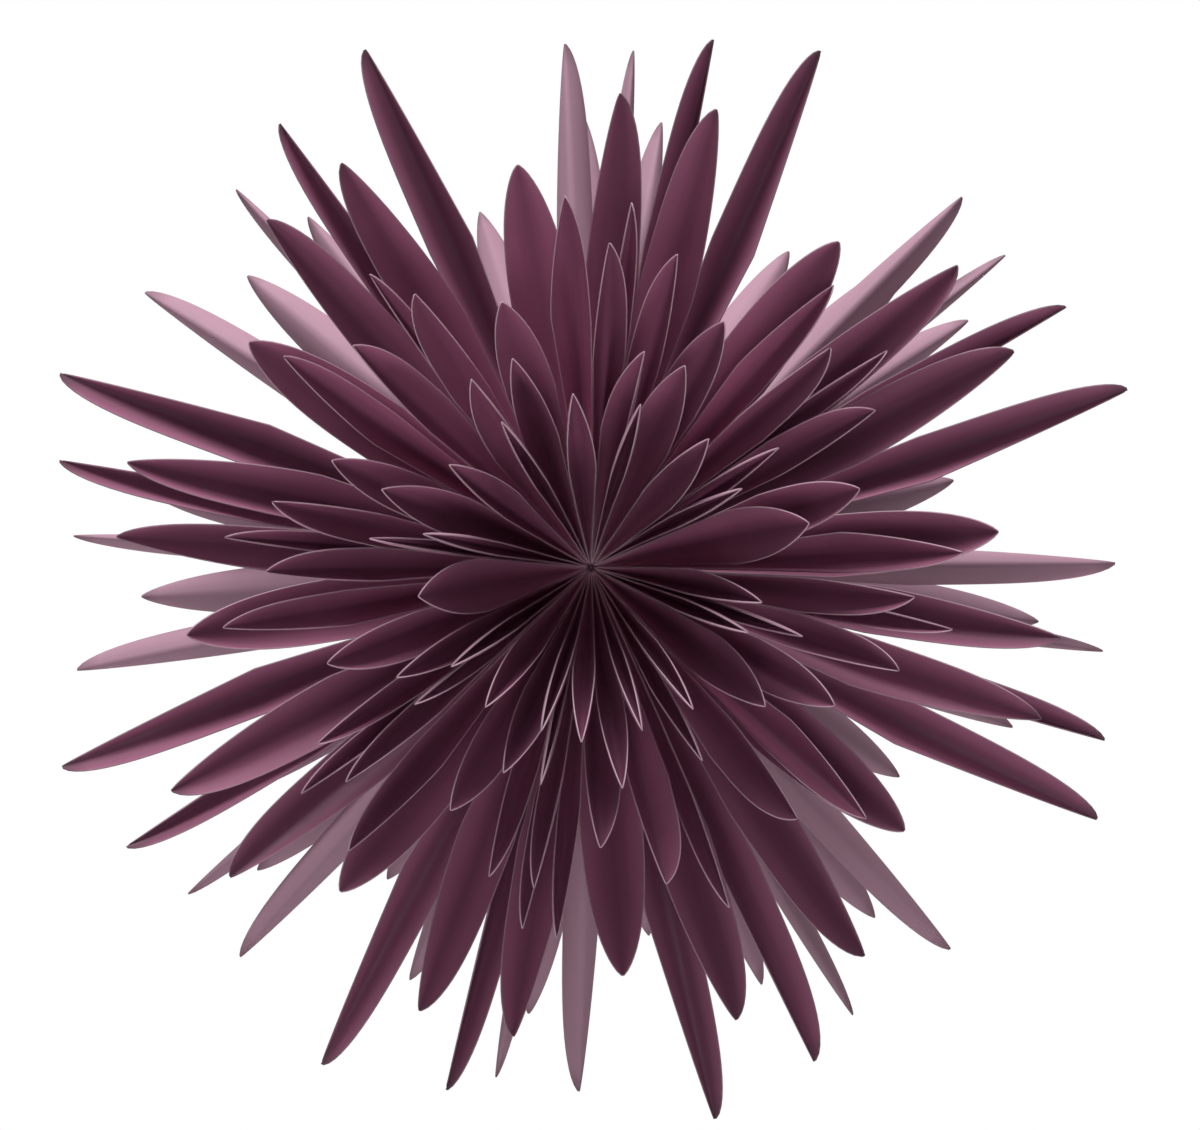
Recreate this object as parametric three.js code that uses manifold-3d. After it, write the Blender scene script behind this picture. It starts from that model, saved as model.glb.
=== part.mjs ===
// Giant paper flower: a ball-shaped burst of long pointed petals, each cut from satin card,
// creased down its middle and cupped, and glued to a small core at the centre.
// Millimetres, +Z up. The flower faces -Y, and the middle of its flat back button is the origin.
// Every petal runs straight outwards from the centre along its own direction, widens evenly up to
// its shoulders and ends in a pointed arch, which may be fuller on one side than on the other.
import * as THREE from 'three';
import { mergeVertices } from 'three/addons/utils/BufferGeometryUtils.js';
import Module from 'manifold-3d';

const wasm = await Module();
wasm.setup();

// Driving dimensions, in millimetres
const FLOWER_RADIUS = 300; // centre of the flower to every petal tip
const SHOULDER_RADIUS = 186; // centre to the widest place of a petal
const PETAL_WIDTH = 36; // width of the flat blank at its shoulders
const FRONT_SHOULDER_RADIUS = 215; // the same two for the petals that face the viewer
const FRONT_PETAL_WIDTH = 33;
const ARCH_ROUND = [2.5, 1.5]; // how late the arch turns in, and what a full or lean side adds
const ARCH_BLUNT = [0.7, -0.15]; // how bluntly it ends, and what a full or lean side adds
const CARD = 0.5; // thickness of the card
const CORE_RADIUS = 20; // the core that the roots are glued to
const PINCH_RADIUS = 14; // where the tapering sides of a petal would meet
const ROOT_DEPTH = 2; // how far a fused root reaches into the core
const SEAT_GAP = 0.3; // glue line between pieces
const EDGE_GAP = 1.6; // between the middle lines of two cards that meet at their edges
const FOLD_PASSES = 8; // turns that it takes to settle how far a half folds up
const CORE_FACETS = [16, 8]; // round and down the ball of the core
const CORE_BACK = 15; // flat back of the core, behind the centre
const BUTTON_RADIUS = 10; // card button that closes the back of the core
const BUTTON_THICKNESS = 2;
const BUTTON_SIDES = 24;
const PINCH_SHARE = 0.8; // thickest that the card is at the root, as a share of half its width there
const CUP_ANGLE = 12; // degrees, how much each half of a petal is bowed
const ARCH_STATIONS = [0.5, 0.84]; // sections along the pointed arch, as shares of its length
const REAR_ARCH_STATIONS = [0.62];
const LOOP_CORNERS = 10; // corners of a petal's section: five along each face of the card

const PLUM = 0x5c3046;
const DEEP_PLUM = 0x48263a;
const ROSE_PLUM = 0x6e3a54;
const DUSTY_PINK = 0xb294a2;

// Eight sprays of petals stand round the axis of the flower, and each kind of petal comes once in
// every spray. Angles are in degrees. polar is measured from the front axis. low and high are the
// angles that the two halves of a petal make with the middle of its open side, on the side of
// smaller and of larger azimuth, as one number or as one for each spray. full tells how full the
// tip is on those two sides, from -1 for lean to 1 for blunt. azimuths gives the creases, one for
// each spray, anticlockwise from +X as seen from the front. Petals of one layer meet at their edges.
const LONG_PETALS = [
  { name: 'rim_petal', layer: 'rim', colour: PLUM, polar: 88, full: [-1, 1],
    low: 44, high: 44,
    azimuths: [18.3, 66, 113.5, 159.9, 200.6, 241.5, 282.6, 333.5] },
  { name: 'blade_petal', layer: 'blade', colour: DEEP_PLUM, polar: 71, full: [-1, 1],
    low: 14, high: [40, 40, 40, 40, 40, 40, 62, 40],
    azimuths: [28.7, 76.9, 125, 168.6, 211, 254.5, 293.2, 341.4] },
  { name: 'left_wing_petal', layer: 'wing', colour: PLUM, polar: 55, full: [-0.5, 1],
    low: 58, high: 64,
    azimuths: [27, 74.6, 121.6, 167.2, 208, 248.8, 287.8, 341.4] },
  { name: 'right_wing_petal', layer: 'wing', colour: PLUM, polar: 55, full: [1, -0.6],
    low: 64, high: 48,
    azimuths: [39.5, 86.5, 133, 176.3, 220.7, 260.7, 305.2, 351.5] },
  { name: 'broad_petal', layer: 'broad', colour: PLUM, polar: 44.5, full: [0.3, 0.3],
    low: 68, high: 68,
    azimuths: [52.7, 100.3, 146.6, 189.5, 232.3, 274.5, 320, 365] },
];
const FRONT_PETALS = [
  { layer: 'second', polar: 39.5, full: [1, -0.7], low: 34, high: 50,
    azimuths: [49.3, 94, 145.5, 189.3, 229.5, 264.8, 317.7, 362.3] },
  { layer: 'second slim', polar: 38.8, full: [1, -0.6], low: 24, high: 13,
    azimuths: [36.2, 83.6, 127, 175.3, 218, 259.3, 292.2, 350.3] },
  { layer: 'second', polar: 33.6, full: [-0.5, 1], low: 22, high: 66,
    azimuths: [28.9, 74.5, 122.7, 168.3, 212.8, 251.8, 283.4, 341.5] },
  { layer: 'second', polar: 33.6, full: [1, -0.5], low: 66, high: 22,
    azimuths: [42.5, 86.7, 137, 180.8, 221.2, 260, 309.5, 354.8] },
  { layer: 'second', polar: 28.4, full: [0.4, 0.4], low: 52, high: 52,
    azimuths: [61.5, 108.5, 157.5, 200, 240, 272, 330.5, 376.3] },
  { layer: 'first', polar: 22.2, full: [0.2, 0.2],
    low: [42, 33, 46, 23, 30, 22, 39, 62], high: [50, 39, 42, 33, 39, 29, 54, 62],
    azimuths: [65, 110.5, 159.5, 209.5, 247, 278.2, 321.5, 371.5] },
  { layer: 'first', polar: 22.2, full: [-0.5, 0.5],
    low: [19, 3, 14, 16, 3, 6, 16, 16], high: [14, 50, 52, 6, 24, 8, 12, 8],
    azimuths: [32.5, 76, 122.3, 172.5, 217.8, 257, 300, 342] },
  { layer: 'first', polar: 17.2, full: [0.3, 0.3],
    low: [39, 32, 39, 62, 30, 25, 8, 15], high: [27, 22, 18, 62, 21, 18, 22, 35],
    azimuths: [47.5, 95.8, 144, 189.5, 233, 267, 305.9, 348.5] },
  { layer: 'first slim', polar: 16.8, full: [0.5, 0.5], low: 12, high: 12,
    azimuths: [27.6, 73, 121.4, 168.6, 215.4, 253.2, 287.6, 337.6] },
];
const REAR_PETALS = [
  { layer: 'back rim', polar: 109.5, full: [1, -0.8], low: 38, high: 30,
    azimuths: [45, 92.9, 148.4, 191.3, 228, 268.7, 313.3, 360.5] },
  { layer: 'back rim', polar: 111, full: [-0.5, 0.5], low: 16, high: 24,
    azimuths: [37, 85.3, 133.2, 176.5, 219, 259.4, 300.3, 350.7] },
  { layer: 'back wing', polar: 125, full: [-0.5, 0.5], low: 30, high: 45,
    azimuths: [33.2, 81, 128.9, 170, 211, 246.2, 292.2, 339.2] },
  { layer: 'back wing', polar: 125, full: [0, 0], low: 50, high: 50,
    azimuths: [44, 91, 139.7, 183.7, 222.2, 262, 309, 353.1] },
  { layer: 'back gap', polar: 137, full: [0, 0], low: 50, high: 50,
    azimuths: [58, 107.4, null, null, 236.8, 278.9, 325.8, 373.5] },
];
const SPRAYS = 8;
// Azimuths where each spray's wedge of the core ends, clear of the roots on both sides
const FRONT_BORDERS = [71.2, 118, 165.3, 211.5, 250, 282, 335.2, 382];
const REAR_BORDERS = [66, 113.5, 159.9, 200.6, 241.5, 282.6, 333.5, 378.3];

const radians = THREE.MathUtils.degToRad;

// Unit vectors of a petal: along its length, across it towards growing azimuth, and out of the
// open side of its fold, which faces the front axis on front petals and the rear axis on rear ones
function petalFrame(petal) {
  const polar = radians(petal.polar);
  const turn = radians(petal.azimuth);
  const along = new THREE.Vector3(
    Math.sin(polar) * Math.cos(turn), -Math.cos(polar), Math.sin(polar) * Math.sin(turn));
  const across = new THREE.Vector3(-Math.sin(turn), 0, Math.cos(turn));
  const open = new THREE.Vector3(
    -Math.cos(polar) * Math.cos(turn), -Math.sin(polar), -Math.cos(polar) * Math.sin(turn));
  if (petal.polar > 90) {
    open.negate();
  }
  return { along, across, open };
}

// Width of one half of a petal's blank at a distance from the centre
function halfWidth(petal, distance, fullness) {
  if (distance <= petal.shoulder) {
    return petal.half * (distance - PINCH_RADIUS) / (petal.shoulder - PINCH_RADIUS);
  }
  const left = (distance - petal.shoulder) / (FLOWER_RADIUS - petal.shoulder);
  const round = ARCH_ROUND[0] + ARCH_ROUND[1] * fullness;
  const blunt = ARCH_BLUNT[0] + ARCH_BLUNT[1] * fullness;
  return petal.half * (1 - left ** round) ** blunt;
}

// Middle line of the folded card across a petal: edge, bow, crease, bow, edge
function sectionLine(petal, distance) {
  const arm = (angle, sign, fullness) => {
    const half = halfWidth(petal, distance, fullness);
    const nearCrease = radians(angle + CUP_ANGLE);
    const nearEdge = radians(angle - CUP_ANGLE);
    const bow = new THREE.Vector2(sign * Math.sin(nearCrease), Math.cos(nearCrease));
    const edge = new THREE.Vector2(sign * Math.sin(nearEdge), Math.cos(nearEdge)).add(bow);
    return [bow.multiplyScalar(half / 2), edge.multiplyScalar(half / 2)];
  };
  const [lowBow, lowEdge] = arm(petal.low, -1, petal.full[0]);
  const [highBow, highEdge] = arm(petal.high, 1, petal.full[1]);
  return [lowEdge, lowBow, new THREE.Vector2(0, 0), highBow, highEdge];
}

// Both faces of the card, half its thickness either side of the middle line, as one loop
function sectionLoop(petal, distance) {
  const line = sectionLine(petal, distance);
  const fold = radians((petal.low + petal.high) / 2);
  const narrow = halfWidth(petal, distance, Math.min(...petal.full));
  const thick = Math.min(CARD, PINCH_SHARE * narrow * Math.sin(fold));
  const inner = [];
  const outer = [];
  line.forEach((point, i) => {
    const step = line[Math.min(i + 1, line.length - 1)].clone().sub(point).normalize();
    const back = point.clone().sub(line[Math.max(i - 1, 0)]).normalize();
    const ahead = i === line.length - 1 ? back : step;
    const behind = i === 0 ? step : back;
    const normal = new THREE.Vector2(-ahead.y - behind.y, ahead.x + behind.x).normalize();
    const miter = thick / 2 / normal.dot(new THREE.Vector2(-behind.y, behind.x));
    inner.push(point.clone().addScaledVector(normal, miter));
    outer.push(point.clone().addScaledVector(normal, -miter));
  });
  return inner.concat(outer.reverse());
}

// One petal as a closed solid: sections from the root to near the tip, and a point at the tip
function petalGeometry(petal, rootRadius) {
  const { along, across, open } = petalFrame(petal);
  const archLength = FLOWER_RADIUS - petal.shoulder;
  const archStations = petal.polar > 90 ? REAR_ARCH_STATIONS : ARCH_STATIONS;
  const stations = [rootRadius, petal.shoulder];
  for (const share of archStations) {
    stations.push(petal.shoulder + share * archLength);
  }
  const positions = [];
  for (const distance of stations) {
    for (const { x, y } of sectionLoop(petal, distance)) {
      const point = along.clone().multiplyScalar(distance);
      point.addScaledVector(across, x).addScaledVector(open, y);
      positions.push(point.x, point.y, point.z);
    }
  }
  const tip = along.clone().multiplyScalar(FLOWER_RADIUS);
  positions.push(tip.x, tip.y, tip.z);
  const ring = LOOP_CORNERS;
  const faces = [];
  for (let i = 0; i < ring / 2 - 1; i++) {
    faces.push(i, ring - 1 - i, i + 1, i + 1, ring - 1 - i, ring - 2 - i);
  }
  for (let row = 0; row < stations.length - 1; row++) {
    for (let i = 0; i < ring; i++) {
      const a = row * ring + i;
      const b = row * ring + (i + 1) % ring;
      faces.push(a, b, a + ring, b, b + ring, a + ring);
    }
  }
  const last = (stations.length - 1) * ring;
  for (let i = 0; i < ring; i++) {
    faces.push(last + i, last + (i + 1) % ring, stations.length * ring);
  }
  const geometry = new THREE.BufferGeometry();
  geometry.setAttribute('position', new THREE.Float32BufferAttribute(positions, 3));
  geometry.setIndex(faces);
  return facingOut(geometry);
}

// Turns every face over when the volume comes out negative
function facingOut(geometry) {
  const position = geometry.getAttribute('position');
  const index = Array.from(geometry.getIndex().array);
  const corners = [new THREE.Vector3(), new THREE.Vector3(), new THREE.Vector3()];
  let volume = 0;
  for (let i = 0; i < index.length; i += 3) {
    corners.forEach((corner, j) => corner.fromBufferAttribute(position, index[i + j]));
    volume += corners[0].dot(corners[1].cross(corners[2]));
  }
  if (volume < 0) {
    for (let i = 0; i < index.length; i += 3) {
      [index[i], index[i + 1]] = [index[i + 1], index[i]];
    }
    geometry.setIndex(index);
  }
  return geometry;
}

function toSolid(geometry) {
  const bare = geometry.clone();
  bare.deleteAttribute('normal');
  bare.deleteAttribute('uv');
  const merged = mergeVertices(bare, 1e-4);
  return new wasm.Manifold(new wasm.Mesh({
    numProp: 3,
    vertProperties: new Float32Array(merged.getAttribute('position').array),
    triVerts: new Uint32Array(merged.getIndex().array),
  }));
}

function toGeometry(solid) {
  const mesh = solid.getMesh();
  const geometry = new THREE.BufferGeometry();
  geometry.setAttribute('position', new THREE.BufferAttribute(mesh.vertProperties, 3));
  geometry.setIndex(new THREE.BufferAttribute(mesh.triVerts, 1));
  return geometry;
}

// Wedge of the core between two azimuths, on the front or the rear half of the ball
function coreWedge(from, to, isRear) {
  const ball = toSolid(new THREE.SphereGeometry(CORE_RADIUS, ...CORE_FACETS));
  const middle = radians((from + to) / 2);
  const half = radians((to - from) / 2);
  const reach = CORE_RADIUS * 2;
  const apex = SEAT_GAP / 2 / Math.sin(half);
  const shape = new THREE.Shape();
  shape.moveTo(apex * Math.cos(middle), apex * Math.sin(middle));
  for (const turn of [middle - half, middle + half]) {
    shape.lineTo(
      apex * Math.cos(middle) + reach * Math.cos(turn),
      apex * Math.sin(middle) + reach * Math.sin(turn));
  }
  const depth = isRear ? CORE_BACK - SEAT_GAP / 2 : CORE_RADIUS * 2;
  const prism = new THREE.ExtrudeGeometry(shape, { depth, bevelEnabled: false });
  prism.rotateX(Math.PI / 2);
  prism.translate(0, isRear ? CORE_BACK : -SEAT_GAP / 2, 0);
  return ball.intersect(toSolid(prism));
}

function pieceMesh(name, geometry, colour) {
  const material = new THREE.MeshStandardMaterial({ color: colour, roughness: 0.55, metalness: 0 });
  const mesh = new THREE.Mesh(geometry, material);
  mesh.name = name;
  return mesh;
}

// Every petal of a list of kinds, as its own copy of the kind with its spray, place and blank
function placedPetals(kinds, shoulder, width) {
  const own = (value, spray) => (Array.isArray(value) ? value[spray] : value);
  return kinds.flatMap((kind) => kind.azimuths.map((azimuth, spray) => ({
    ...kind,
    spray,
    azimuth,
    low: own(kind.low, spray),
    high: own(kind.high, spray),
    shoulder,
    half: width / 2,
  }))).filter((petal) => petal.azimuth !== null);
}

// How far round the axis the edge of a half lies from the crease at the shoulders. The edge lies
// towards the axis as well as across, because the open side of the fold faces the axis.
function edgeTurn(petal, angle) {
  const polar = radians(petal.polar);
  const reach = petal.half / petal.shoulder;
  const inward = reach * Math.cos(angle) * Math.abs(Math.cos(polar));
  return Math.atan2(reach * Math.sin(angle), Math.sin(polar) - inward);
}

// The angle of a half whose edge lies a given turn round the axis from the crease
function foldedTo(petal, turn, angle) {
  const polar = radians(petal.polar);
  const reach = petal.half / petal.shoulder;
  let folded = angle;
  for (let pass = 0; pass < FOLD_PASSES; pass++) {
    const distance = Math.sin(polar) - reach * Math.cos(folded) * Math.abs(Math.cos(polar));
    folded = Math.asin(Math.min(1, Math.tan(turn) * distance / reach));
  }
  return THREE.MathUtils.radToDeg(folded);
}

// Where two petals of a layer would reach past each other, both fold up until their edges meet
function meetAtEdges(petals) {
  for (const layer of new Set(petals.map((petal) => petal.layer))) {
    const members = petals.filter((petal) => petal.layer === layer);
    members.sort((a, b) => (a.azimuth + 360) % 360 - (b.azimuth + 360) % 360);
    members.forEach((petal, i) => {
      const next = members[(i + 1) % members.length];
      const nearer = Math.min(Math.sin(radians(petal.polar)), Math.sin(radians(next.polar)));
      const clear = EDGE_GAP / petal.shoulder / nearer;
      const room = radians((next.azimuth - petal.azimuth + 360) % 360) - clear;
      const high = radians(petal.high);
      const low = radians(next.low);
      const highTurn = edgeTurn(petal, high);
      const lowTurn = edgeTurn(next, low);
      const share = room / (highTurn + lowTurn);
      if (share < 1) {
        petal.high = foldedTo(petal, highTurn * share, high);
        next.low = foldedTo(next, lowTurn * share, low);
      }
    });
  }
  return petals;
}

function sprayMesh(k, petals, isRear, borders) {
  const from = k === 0 ? borders[SPRAYS - 1] - 360 : borders[k - 1];
  let solid = coreWedge(from, borders[k], isRear);
  for (const petal of petals.filter((one) => one.spray === k)) {
    solid = solid.add(toSolid(petalGeometry(petal, CORE_RADIUS - ROOT_DEPTH)));
  }
  const name = isRear ? 'rear_spray_' : 'front_spray_';
  return pieceMesh(name + (k + 1), toGeometry(solid), isRear ? DUSTY_PINK : ROSE_PLUM);
}

const flower = new THREE.Group();
const longPetals = meetAtEdges(placedPetals(LONG_PETALS, SHOULDER_RADIUS, PETAL_WIDTH));
for (const petal of longPetals) {
  const geometry = petalGeometry(petal, CORE_RADIUS + SEAT_GAP);
  flower.add(pieceMesh(`${petal.name}_${petal.spray + 1}`, geometry, petal.colour));
}
const frontPetals = meetAtEdges(
  placedPetals(FRONT_PETALS, FRONT_SHOULDER_RADIUS, FRONT_PETAL_WIDTH));
const rearPetals = meetAtEdges(placedPetals(REAR_PETALS, SHOULDER_RADIUS, PETAL_WIDTH));
for (let k = 0; k < SPRAYS; k++) {
  flower.add(sprayMesh(k, frontPetals, false, FRONT_BORDERS));
  flower.add(sprayMesh(k, rearPetals, true, REAR_BORDERS));
}
const button = new THREE.CylinderGeometry(BUTTON_RADIUS, BUTTON_RADIUS, BUTTON_THICKNESS, BUTTON_SIDES);
button.translate(0, CORE_BACK + SEAT_GAP + BUTTON_THICKNESS / 2, 0);
flower.add(pieceMesh('back_button', button, DEEP_PLUM));

// All of the above stands round the centre of the burst. This moves the button's back to y = 0.
flower.position.y = -(CORE_BACK + SEAT_GAP + BUTTON_THICKNESS);

export default flower;
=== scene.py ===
"""Giant paper flower: satin plum card petals round a small core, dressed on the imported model."""
import math

import bpy
import numpy as np
from bpy.props import FloatProperty, FloatVectorProperty, PointerProperty
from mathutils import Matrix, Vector


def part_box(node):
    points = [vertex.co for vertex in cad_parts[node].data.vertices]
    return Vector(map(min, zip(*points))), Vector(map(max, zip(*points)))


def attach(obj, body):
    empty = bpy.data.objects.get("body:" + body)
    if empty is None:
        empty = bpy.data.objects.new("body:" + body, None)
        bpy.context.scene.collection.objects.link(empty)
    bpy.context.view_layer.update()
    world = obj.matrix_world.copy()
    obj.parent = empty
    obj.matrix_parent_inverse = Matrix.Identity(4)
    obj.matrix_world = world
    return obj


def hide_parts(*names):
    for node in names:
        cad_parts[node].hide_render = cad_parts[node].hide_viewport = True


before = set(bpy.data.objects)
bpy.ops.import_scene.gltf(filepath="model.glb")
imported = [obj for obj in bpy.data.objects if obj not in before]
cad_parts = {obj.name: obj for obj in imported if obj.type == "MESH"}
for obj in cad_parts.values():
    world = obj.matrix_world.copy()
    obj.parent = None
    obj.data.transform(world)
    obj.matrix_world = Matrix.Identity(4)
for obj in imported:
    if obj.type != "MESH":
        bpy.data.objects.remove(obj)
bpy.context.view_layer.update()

bl_info = {
    "name": "Giant Paper Flower",
    "version": (1, 0, 0),
    "blender": (4, 5, 0),
    "location": "View3D > Sidebar > Paper Flower",
    "description": "Builds a ball-shaped burst of creased card petals and a plain studio round it",
    "category": "Add Mesh",
}

SPRAYS = 8

# Centre of the flower to the flat back of the core, and the glue between the core and its button.
CORE_BACK = 0.015
SEAT_GAP = 0.0003

# Each kind of petal stands once in every spray. Angles are in degrees. polar is measured from the
# front axis of the flower, low and high are the angles of the petal's two halves on the side of
# smaller and of larger azimuth, as one number or one for each spray, full tells how full the tip
# is on those two sides, from -1 for lean to 1 for blunt, and azimuths places the eight creases,
# anticlockwise from +X as seen from the front. Petals of one layer meet at their edges.
LONG_KINDS = [
    {"name": "rim_petal", "layer": "rim", "polar": 88, "low": 44, "high": 44, "full": [-1, 1],
     "azimuths": [18.3, 66, 113.5, 159.9, 200.6, 241.5, 282.6, 333.5]},
    {"name": "blade_petal", "layer": "blade", "polar": 71, "full": [-1, 1],
     "low": 14, "high": [40, 40, 40, 40, 40, 40, 64, 40],
     "azimuths": [28.7, 76.9, 125, 168.6, 211, 254.5, 294.3, 341.4]},
    {"name": "left_wing_petal", "layer": "wing", "polar": 55, "full": [-0.5, 1],
     "low": 58, "high": 64,
     "azimuths": [27, 74.6, 121.6, 167.2, 208, 248.8, 287.8, 341.4]},
    {"name": "right_wing_petal", "layer": "wing", "polar": 55, "full": [1, -0.6],
     "low": 64, "high": 48,
     "azimuths": [39.5, 86.5, 133, 176.3, 220.7, 260.7, 305.2, 351.5]},
    {"name": "broad_petal", "layer": "broad", "polar": 44.5, "full": [0.3, 0.3],
     "low": 68, "high": 68,
     "azimuths": [52.7, 100.3, 146.6, 189.5, 232.3, 274.5, 320, 365]},
]
FRONT_KINDS = [
    {"layer": "second", "polar": 39.5, "low": 34, "high": 50, "full": [1, -0.7],
     "azimuths": [49.3, 94, 145.5, 189.3, 229.5, 264.8, 317.7, 362.3]},
    {"layer": "second slim", "polar": 38.8, "low": 24, "high": 13, "full": [1, -0.6],
     "azimuths": [36.2, 83.6, 127, 175.3, 218, 259.3, 292.2, 350.3]},
    {"layer": "second", "polar": 33.6, "low": 22, "high": 66, "full": [-0.5, 1],
     "azimuths": [28.9, 74.5, 122.7, 168.3, 212.8, 251.8, 283.4, 341.5]},
    {"layer": "second", "polar": 33.6, "low": 66, "high": 22, "full": [1, -0.5],
     "azimuths": [42.5, 86.7, 137, 180.8, 221.2, 260, 309.5, 354.8]},
    {"layer": "second", "polar": 28.4, "low": 52, "high": 52, "full": [0.4, 0.4],
     "azimuths": [61.5, 108.5, 157.5, 200, 240, 272, 330.5, 376.3]},
    {"layer": "first", "polar": 22.2, "full": [0.2, 0.2],
     "low": [42, 33, 46, 23, 30, 22, 39, 62], "high": [50, 39, 42, 33, 39, 29, 54, 62],
     "azimuths": [65, 110.5, 159.5, 209.5, 247, 278.2, 321.5, 371.5]},
    {"layer": "first", "polar": 22.2, "full": [-0.5, 0.5],
     "low": [19, 3, 14, 16, 3, 6, 16, 16], "high": [14, 50, 52, 6, 24, 8, 12, 8],
     "azimuths": [32.5, 76, 122.3, 172.5, 217.8, 257, 300, 342]},
    {"layer": "first", "polar": 17.2, "full": [0.3, 0.3],
     "low": [39, 32, 39, 62, 30, 25, 8, 15], "high": [27, 22, 18, 62, 21, 18, 22, 35],
     "azimuths": [47.5, 95.8, 144, 189.5, 233, 267, 305.9, 348.5]},
    {"layer": "first slim", "polar": 16.8, "low": 12, "high": 12, "full": [0.5, 0.5],
     "azimuths": [27.6, 73, 121.4, 168.6, 215.4, 253.2, 287.6, 337.6]},
]
REAR_KINDS = [
    {"layer": "back rim", "polar": 109.5, "low": 38, "high": 30, "full": [1, -0.8],
     "azimuths": [45, 92.9, 148.4, 191.3, 228, 268.7, 313.3, 360.5]},
    {"layer": "back rim", "polar": 111, "low": 16, "high": 24, "full": [-0.5, 0.5],
     "azimuths": [37, 85.3, 133.2, 176.5, 219, 259.4, 300.3, 350.7]},
    {"layer": "back wing", "polar": 125, "low": 30, "high": 45, "full": [-0.5, 0.5],
     "azimuths": [33.2, 81, 128.9, 170, 211, 246.2, 292.2, 339.2]},
    {"layer": "back wing", "polar": 125, "low": 50, "high": 50, "full": [0, 0],
     "azimuths": [44, 91, 139.7, 183.7, 222.2, 262, 309, 353.1]},
    {"layer": "back gap", "polar": 137, "low": 50, "high": 50, "full": [0, 0],
     "azimuths": [58, 107.4, None, None, 236.8, 278.9, 325.8, 373.5]},
]

# Turn left free between two petals that meet, and how often a folded angle is worked out again.
SLIT = math.radians(0.4)
FOLD_PASSES = 8

# The arch from shoulder to tip, on a side that is neither full nor lean, and what fullness adds.
ARCH_POWER, POWER_OF_FULLNESS = 2.5, 1.5
ARCH_ROOT, ROOT_OF_FULLNESS = 0.7, -0.15

# The petal's grid: rows along it, columns in each half, how its rows crowd towards the tip, and
# where the last of them stops short of it.
ALONG_STEPS = 34
ACROSS_STEPS = 6
TIP_CROWDING = 1.5
TIP_STOP = 0.02

# How far a petal strays sideways and outwards, and the fine flutter of its edges.
SWAY = 0.0012
LIFT = 0.0015
FLUTTER = 0.0003
FLUTTER_LENGTH = 0.02
FLUTTER_PHASE = 3

# Thickest the card may be near the root, as a share of the half width, and what sets the draw of
# a petal's tone apart from the draw of its shape.
ROOT_THICKNESS = 0.6
TONE_SEED = 999

# Values that every point of a petal carries: how far the cut edge is, the petal's own tone, and the
# paleness of its edge, which is painted light. That goes by the polar angle, from bare pulp in
# front to nearly plum at the rim, and a little paler again behind it.
POINT_VALUES = ("edge_distance", "petal_tone", "painted_light_by_polar")
PAINTED_LIGHT_BY_POLAR = ((17, 40, 55, 90, 137), (1.0, 0.9, 0.5, 0.35, 0.5))

# Spans of the card's masks, from a low and a high to what each becomes. What the last becomes
# goes by the roughness of the card.
FIBRE_SPAN = (0.35, 0.65, 0.0, 1.0)
OWN_TONE = (0.0, 1.0, 0.0, 0.7)
# Painted shade at the fold and painted light towards the cut edge.
FOLD_SHADE = (0.0, 0.45, 0.7, 0.0)
SIDE_LIGHT = (0.35, 1.0, 0.0, 0.85)
# Painted light near the root of the front petals, by the share along and by the polar angle.
PAINTED_ROOT_LIGHT_ALONG = (0.25, 0.85, 1.0, 0.0)
PAINTED_ROOT_LIGHT_FRONT = (0.5, 0.9, 0.0, 0.75)
# Painted highlight on the cut edges near the root.
ROOT_EDGE = (0.03, 0.45, 1.0, 0.0)
TIP_DARKENING = (0.0, 1.0, 0.0, 0.8)
TIP_SPARED = (0.4, 1.0, 0.0, 0.8)
# The band of painted light along the cut edge widens near the root and fades away from the edge.
BAND_WIDENING = (0.05, 0.5, 3.0, 1.0)
BAND_FADE = (0.3, 1.0, 1.0, 0.0)
TIP_SPAN = (0.955, 1.0, 0.0, 1.0)
ROUGHNESS_SPAN = (0.3, 0.7)

# Shares and gains of the colours: deep colour in the fibre, painted light on the lit side of a
# petal, painted light on front petals near the root, pulp of the rim petals darkened as painted
# shade, pulp near the root lightened as painted highlight, shaded fibre and tip of the pink back,
# and light fibre of the board.
FIBRE_DEPTH = 0.2
LIT_GAIN = (1.5, 1.9, 1.7)
PAINTED_ROOT_LIGHT_GAIN = (2.6, 2.6, 2.6)
RIM_EDGE_SHADE = 0.35
ROOT_EDGE_HIGHLIGHT = 2.2
SHADED = 0.8
BACK_TIP = 0.4
BOARD_LIGHT = 1.5

# Finish: share of fine fibre in the tone, light that passes through the card, how far fibre
# changes the roughness, and strength and depth of the bump.
FINE_SHARE = 0.35
PASSED_LIGHT = 0.25
CARD_SPECULAR = 0.2
ROUGHNESS_SPREAD = (-0.05, 0.08)
CARD_BUMP = (0.25, 0.0002)
BOARD_BUMP = (0.3, 0.0003)
BOARD_ROUGHNESS = 0.75

# The core: points of its profile and steps round it and round the button, how far its front is
# drawn in, so that it hides behind the roots, and the button's bevel as a share of its depth.
CORE_PROFILE = 16
CORE_STEPS = 48
BUTTON_STEPS = 64
FRONT_DRAWN_IN = 0.25
BUTTON_BEVEL = 0.15

# The picture is 1200 by 1130 pixels, and the flower's centre lies at this pixel of it.
PICTURE_WIDTH, PICTURE_HEIGHT = 1200, 1130
FLOWER_COLUMN, FLOWER_ROW = 591.0, 567.5

# Places of the lamps, measured from the centre of the flower, and the sizes of their disks.
KEY_PLACE, KEY_SIZE = (-0.3, -0.5, 2.2), 1.0
FRONT_PLACE, FRONT_SIZE = (-0.1, -2.4, -0.4), 0.5
FLOOR_REACH = 3.0
FLOOR_GREY = 0.88
FLOOR_ROUGHNESS = 0.9
CAMERA_REACH = 50


def flower_centre():
    """The centre of the burst: the flat back of the core lies one glue gap before the button."""
    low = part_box("back_button")[0]
    return np.array([0.0, low[1] - SEAT_GAP - CORE_BACK, 0.0])


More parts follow.
